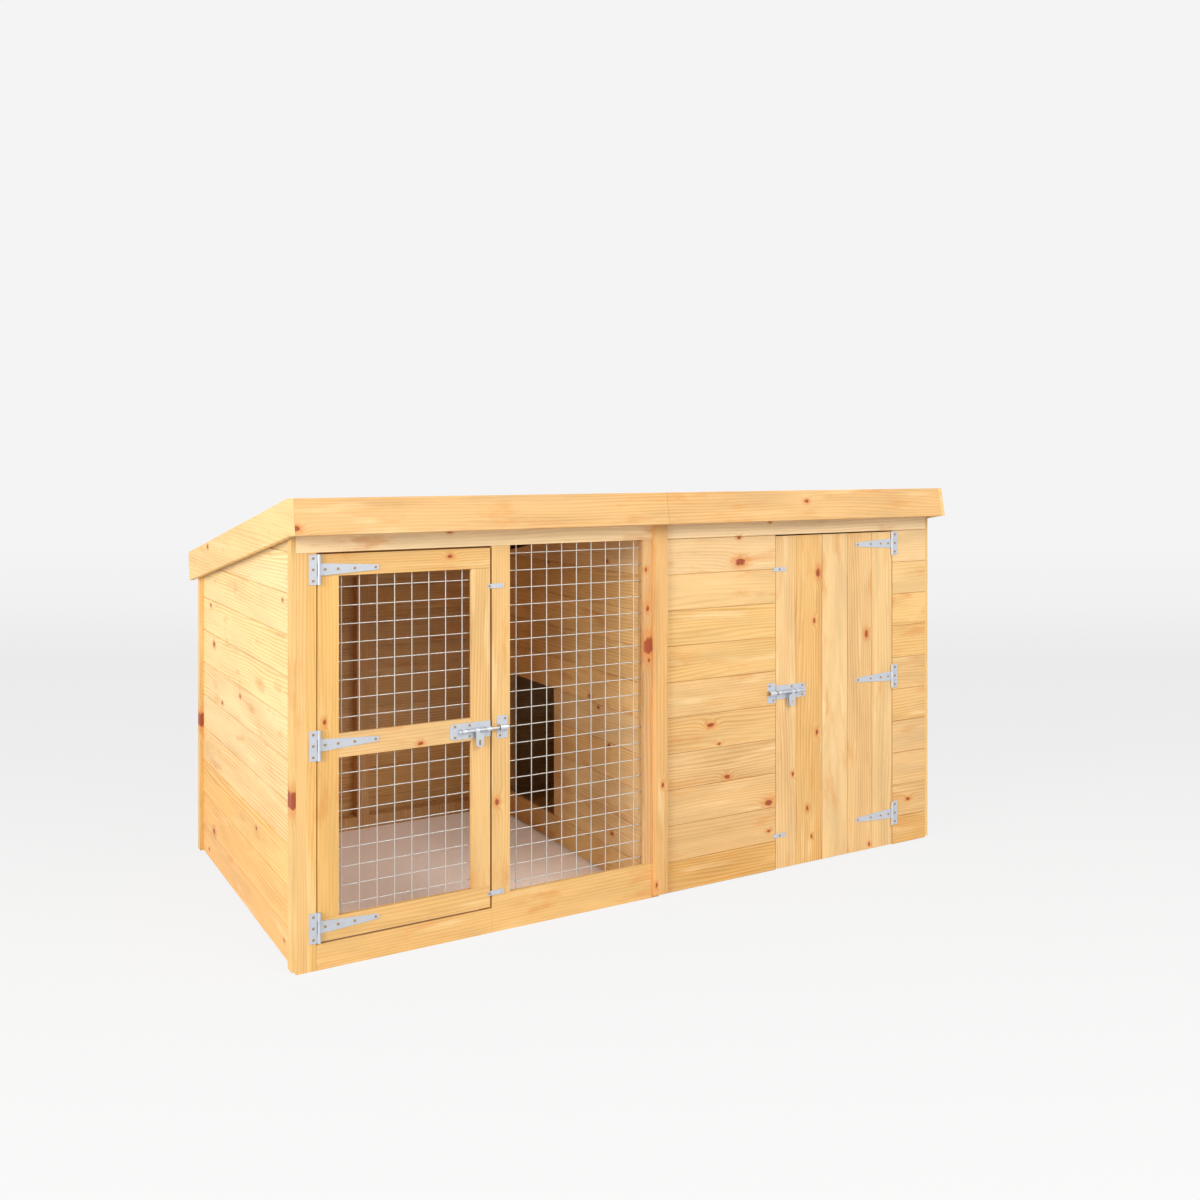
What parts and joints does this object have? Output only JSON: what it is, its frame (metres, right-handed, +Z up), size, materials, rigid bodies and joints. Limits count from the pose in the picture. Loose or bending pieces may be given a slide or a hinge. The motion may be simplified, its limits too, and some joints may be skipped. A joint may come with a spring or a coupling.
{
  "type": "dog kennel and run",
  "caption": "Pine kennel with a boarded door beside a meshed run with its own door, under one roof that falls to the back.",
  "frame": {"origin": "on the ground under the middle of the whole object, roof overhangs included", "axes": "+X along the front from the run to the kennel, +Y from the front to the back, +Z up"},
  "size_m": [2.3468, 1.282, 1.258],
  "materials": {
    "board_pine": "planed, tongue and groove",
    "trim_pine": "planed",
    "framing_pine": "planed",
    "felt": "mineral felt",
    "welded_mesh": "galvanised",
    "galvanised_steel": "zinc plated",
    "bright_steel": "zinc plated"
  },
  "bodies": {
    "house": {"left_wall_boards": "board_pine", "right_wall_boards": "board_pine", "back_wall_boards": "board_pine", "corner_trims": "trim_pine", "left_wall_frame": "framing_pine", "right_wall_frame": "framing_pine", "back_wall_frame": "framing_pine", "partition_boards": "board_pine", "partition_frame": "framing_pine", "run_left_stile": "trim_pine", "run_mullion": "trim_pine", "run_right_stile": "trim_pine", "run_header": "trim_pine", "run_door_sill": "trim_pine", "run_panel_rail": "trim_pine", "run_front_frame": "framing_pine", "run_fixed_mesh": "welded_mesh", "centre_cover_strip": "trim_pine", "kennel_front_boards_left": "board_pine", "kennel_front_boards_right": "board_pine", "kennel_header_board": "board_pine", "kennel_front_frame": "framing_pine", "door_stops": "framing_pine", "kennel_floor_boards": "board_pine", "kennel_floor_bearers": "framing_pine", "roof_purlins": "framing_pine", "roof_boards": "board_pine", "roof_felt": "felt", "fascia_left": "trim_pine", "fascia_right": "trim_pine", "barge_boards": "board_pine", "fascia_batten": "framing_pine", "back_drip_board": "trim_pine", "hinge_plates": "galvanised_steel", "hinge_pins": "bright_steel", "house_screws": "galvanised_steel", "bolt_keeps": "galvanised_steel"},
    "run_door": {"run_door_stiles": "trim_pine", "run_door_rails": "trim_pine", "run_door_mesh": "welded_mesh", "run_door_back_battens": "framing_pine", "run_door_straps": "galvanised_steel", "run_door_screws": "galvanised_steel", "run_button_screws": "galvanised_steel", "run_bolt_plate": "galvanised_steel"},
    "kennel_door": {"kennel_door_boards": "board_pine", "kennel_door_ledges": "trim_pine", "kennel_door_braces": "trim_pine", "kennel_door_straps": "galvanised_steel", "kennel_door_screws": "galvanised_steel", "kennel_button_screws": "galvanised_steel", "kennel_bolt_plate": "galvanised_steel"},
    "run_bolt": {"run_bolt_rod": "bright_steel"},
    "run_lug": {"run_bolt_lug": "galvanised_steel"},
    "kennel_bolt": {"kennel_bolt_rod": "bright_steel"},
    "kennel_lug": {"kennel_bolt_lug": "galvanised_steel"},
    "run_button_upper": {"run_turn_button_upper": "galvanised_steel"},
    "run_button_lower": {"run_turn_button_lower": "galvanised_steel"},
    "kennel_button_upper": {"kennel_turn_button_upper": "galvanised_steel"},
    "kennel_button_lower": {"kennel_turn_button_lower": "galvanised_steel"}
  },
  "joints": [
    {"name": "run_door_hinge", "type": "hinge", "parent": "house", "child": "run_door", "pos_m": [-1.077, -0.58459, 0.598], "axis": [0, 0, -1], "range_deg": [0, 170]},
    {"name": "kennel_door_hinge", "type": "hinge", "parent": "house", "child": "kennel_door", "pos_m": [0.9743, -0.58459, 0.598], "axis": [0, 0, 1], "range_deg": [0, 170]},
    {"name": "run_bolt_slide", "type": "slide", "parent": "run_door", "child": "run_bolt", "axis": [1, 0, 0], "range_m": [-0.02, 0.008]},
    {"name": "kennel_bolt_slide", "type": "slide", "parent": "kennel_door", "child": "kennel_bolt", "axis": [-1, 0, 0], "range_m": [-0.006, 0.008]},
    {"name": "run_lug_turn", "type": "hinge", "parent": "run_bolt", "child": "run_lug", "pos_m": [-0.613, -0.58899, 0.5885], "axis": [-1, 0, 0], "range_deg": [0, 170]},
    {"name": "kennel_lug_turn", "type": "hinge", "parent": "kennel_bolt", "child": "kennel_lug", "pos_m": [0.51, -0.58899, 0.5885], "axis": [-1, 0, 0], "range_deg": [0, 170]},
    {"name": "run_button_lower_turn", "type": "hinge", "parent": "run_door", "child": "run_button_lower", "pos_m": [-0.5795, -0.58109, 0.1145], "axis": [0, -1, 0], "range_deg": [-90, 90]},
    {"name": "run_button_upper_turn", "type": "hinge", "parent": "run_door", "child": "run_button_upper", "pos_m": [-0.5795, -0.58109, 0.996], "axis": [0, -1, 0], "range_deg": [-90, 90]},
    {"name": "kennel_button_lower_turn", "type": "hinge", "parent": "kennel_door", "child": "kennel_button_lower", "pos_m": [0.4743, -0.58109, 0.1145], "axis": [0, -1, 0], "range_deg": [-90, 90]},
    {"name": "kennel_button_upper_turn", "type": "hinge", "parent": "kennel_door", "child": "kennel_button_upper", "pos_m": [0.4743, -0.58109, 0.996], "axis": [0, -1, 0], "range_deg": [-90, 90]}
  ]
}
